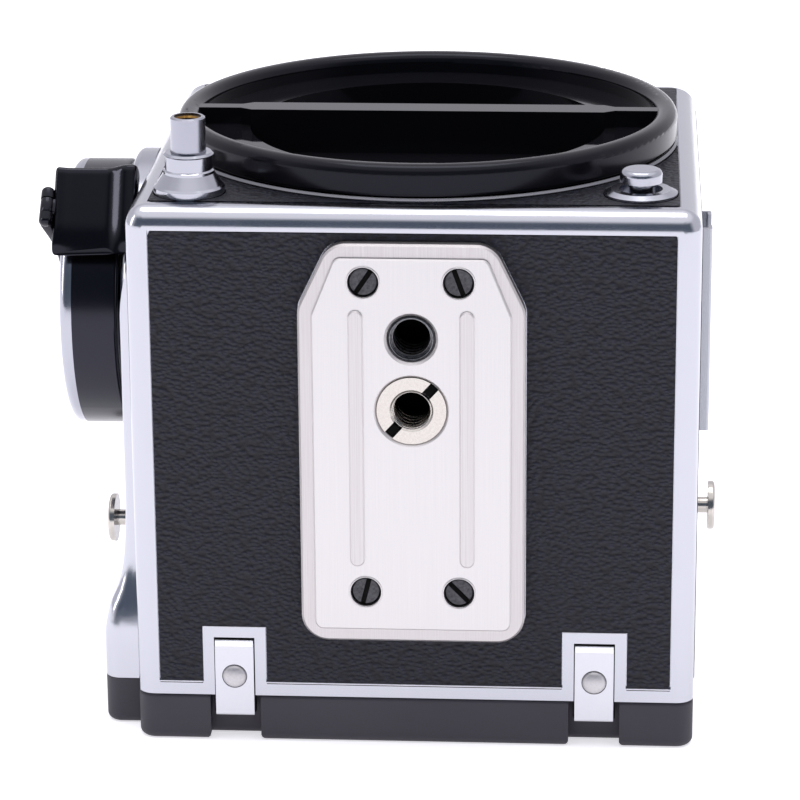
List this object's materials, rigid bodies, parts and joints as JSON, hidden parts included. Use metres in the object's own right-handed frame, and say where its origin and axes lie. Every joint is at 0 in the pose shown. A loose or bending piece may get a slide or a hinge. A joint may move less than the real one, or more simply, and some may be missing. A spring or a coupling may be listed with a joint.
{
  "type": "medium format film camera",
  "caption": "Box-shaped reflex camera body with front cap, rear cover, folding winding crank, tripod plate and folded viewfinder hood, lying on its back.",
  "frame": {"origin": "on the rear cover's flat back, under the middle of the body", "axes": "+Z is the lens axis towards the front; -Y is the tripod side, +Y the viewfinder side; -X is the winding crank side"},
  "size_m": [0.0967, 0.097, 0.0882],
  "materials": {
    "satin_chrome": "satin chrome plate on a cast body",
    "polished_chrome": "polished chrome plate",
    "brushed_plate": "brushed, light grey",
    "nickel": "nickel plate, slightly warm",
    "steel": "turned steel",
    "dark_screw": "blackened steel",
    "brass": "turned brass",
    "leather": "black grained covering",
    "cover_plastic": "matt black moulding",
    "cap_plastic": "semi-gloss black moulding",
    "black_plastic": "glossy black moulding",
    "black_metal": "matt black paint on sheet metal",
    "mirror_glass": "front-silvered mirror",
    "screen_glass": "ground glass",
    "lens_glass": "clear lens"
  },
  "bodies": {
    "camera_body": {"body_shell": "satin_chrome", "bottom_leather": "leather", "left_leather": "leather", "right_leather": "leather", "front_leather": "leather", "tripod_plate": "brushed_plate", "thread_insert": "nickel", "plate_screws": "dark_screw", "cover_hook_right": "polished_chrome", "cover_hook_left": "polished_chrome", "hook_rivets": "polished_chrome", "lens_mount_ring": "polished_chrome", "mount_screws": "dark_screw", "release_escutcheon": "polished_chrome", "lens_lock_escutcheon": "polished_chrome", "crank_boss": "polished_chrome", "gear_axles": "steel", "mirror_box": "black_metal", "screen_frame": "nickel", "focusing_screen": "screen_glass", "hood_base": "black_metal", "strap_lug_left": "nickel", "strap_lug_right": "nickel", "accessory_rail": "nickel", "rail_screws": "dark_screw"},
    "cover": {"rear_cover": "cover_plastic"},
    "cap": {"front_cap": "cap_plastic"},
    "release": {"release_button": "polished_chrome", "release_thread": "brass"},
    "lens_lock": {"lens_lock_button": "polished_chrome"},
    "crank": {"crank_drum": "black_plastic", "crank_rim": "polished_chrome", "crank_arm": "black_plastic", "winding_shaft": "steel", "winding_gear": "steel", "crank_hub_screw": "polished_chrome"},
    "grip": {"crank_grip": "black_plastic", "grip_pin": "steel"},
    "idler": {"idler_gear": "steel"},
    "magazine_drive": {"magazine_gear": "steel"},
    "reflex_mirror": {"mirror_frame": "black_metal", "mirror": "mirror_glass"},
    "flap_upper": {"upper_flap": "black_metal"},
    "flap_lower": {"lower_flap": "black_metal"},
    "lens_drive": {"lens_drive_shaft": "steel"},
    "lid": {"hood_lid": "black_metal", "hood_magnifier": "lens_glass"},
    "leaf_left": {"hood_leaf_left": "black_metal"},
    "leaf_right": {"hood_leaf_right": "black_metal"},
    "leaf_rear": {"hood_leaf_rear": "black_metal"}
  },
  "joints": [
    {"name": "rear_cover_tilt", "type": "hinge", "parent": "camera_body", "child": "cover", "pos_m": [0, -0.0375, 0.0063], "axis": [-1, 0, 0], "range_deg": [0, 25]},
    {"name": "front_cap_pull", "type": "slide", "parent": "camera_body", "child": "cap", "axis": [0, 0, 1], "range_m": [0, 0.03]},
    {"name": "release_press", "type": "slide", "parent": "camera_body", "child": "release", "axis": [0, 0, -1], "range_m": [0, 0.0025], "stiffness_N_per_m": 400},
    {"name": "lens_lock_press", "type": "slide", "parent": "camera_body", "child": "lens_lock", "axis": [0, 0, -1], "range_m": [0, 0.0018], "stiffness_N_per_m": 400},
    {"name": "crank_turn", "type": "hinge", "parent": "camera_body", "child": "crank", "pos_m": [-0.05, 0, 0.0547], "axis": [-1, 0, 0], "continuous": true},
    {"name": "grip_fold", "type": "hinge", "parent": "crank", "child": "grip", "pos_m": [-0.05265, -0.01725, 0.07195], "axis": [0, -0.7071, -0.7071], "range_deg": [0, 180]},
    {"name": "idler_turn", "type": "hinge", "parent": "camera_body", "child": "idler", "pos_m": [-0.0346, 0, 0.0337], "axis": [-1, 0, 0], "continuous": true},
    {"name": "magazine_drive_turn", "type": "hinge", "parent": "camera_body", "child": "magazine_drive", "pos_m": [-0.0346, 0, 0.0147], "axis": [-1, 0, 0], "continuous": true},
    {"name": "lens_drive_turn", "type": "hinge", "parent": "camera_body", "child": "lens_drive", "pos_m": [-0.014, -0.021, 0.07], "axis": [0, 0, 1], "continuous": true},
    {"name": "mirror_swing", "type": "hinge", "parent": "camera_body", "child": "reflex_mirror", "pos_m": [0, 0.0282, 0.0155], "axis": [-1, 0, 0], "range_deg": [0, 45]},
    {"name": "upper_flap_swing", "type": "hinge", "parent": "camera_body", "child": "flap_upper", "pos_m": [0, 0.0263, 0.01195], "axis": [-1, 0, 0], "range_deg": [0, 85]},
    {"name": "lower_flap_swing", "type": "hinge", "parent": "camera_body", "child": "flap_lower", "pos_m": [0, -0.0263, 0.01195], "axis": [1, 0, 0], "range_deg": [0, 85]},
    {"name": "hood_lid_fold", "type": "hinge", "parent": "camera_body", "child": "lid", "pos_m": [0, 0.053, 0.0705], "axis": [1, 0, 0], "range_deg": [0, 90]},
    {"name": "left_leaf_fold", "type": "hinge", "parent": "camera_body", "child": "leaf_left", "pos_m": [0.0282, 0.0509, 0.04], "axis": [0, 0, -1], "range_deg": [0, 90]},
    {"name": "right_leaf_fold", "type": "hinge", "parent": "camera_body", "child": "leaf_right", "pos_m": [-0.0282, 0.0509, 0.04], "axis": [0, 0, 1], "range_deg": [0, 90]},
    {"name": "rear_leaf_fold", "type": "hinge", "parent": "camera_body", "child": "leaf_rear", "pos_m": [0, 0.0492, 0.0117], "axis": [-1, 0, 0], "range_deg": [0, 90]}
  ],
  "couplings": [
    {"joint": "idler_turn", "follows": "crank_turn", "ratio": -1.3333},
    {"joint": "magazine_drive_turn", "follows": "crank_turn", "ratio": 1.2},
    {"joint": "lens_drive_turn", "follows": "crank_turn", "ratio": 1},
    {"joint": "upper_flap_swing", "follows": "mirror_swing", "ratio": 1.8889},
    {"joint": "lower_flap_swing", "follows": "mirror_swing", "ratio": 1.8889},
    {"joint": "left_leaf_fold", "follows": "hood_lid_fold", "ratio": 1},
    {"joint": "right_leaf_fold", "follows": "hood_lid_fold", "ratio": 1},
    {"joint": "rear_leaf_fold", "follows": "hood_lid_fold", "ratio": 1}
  ]
}
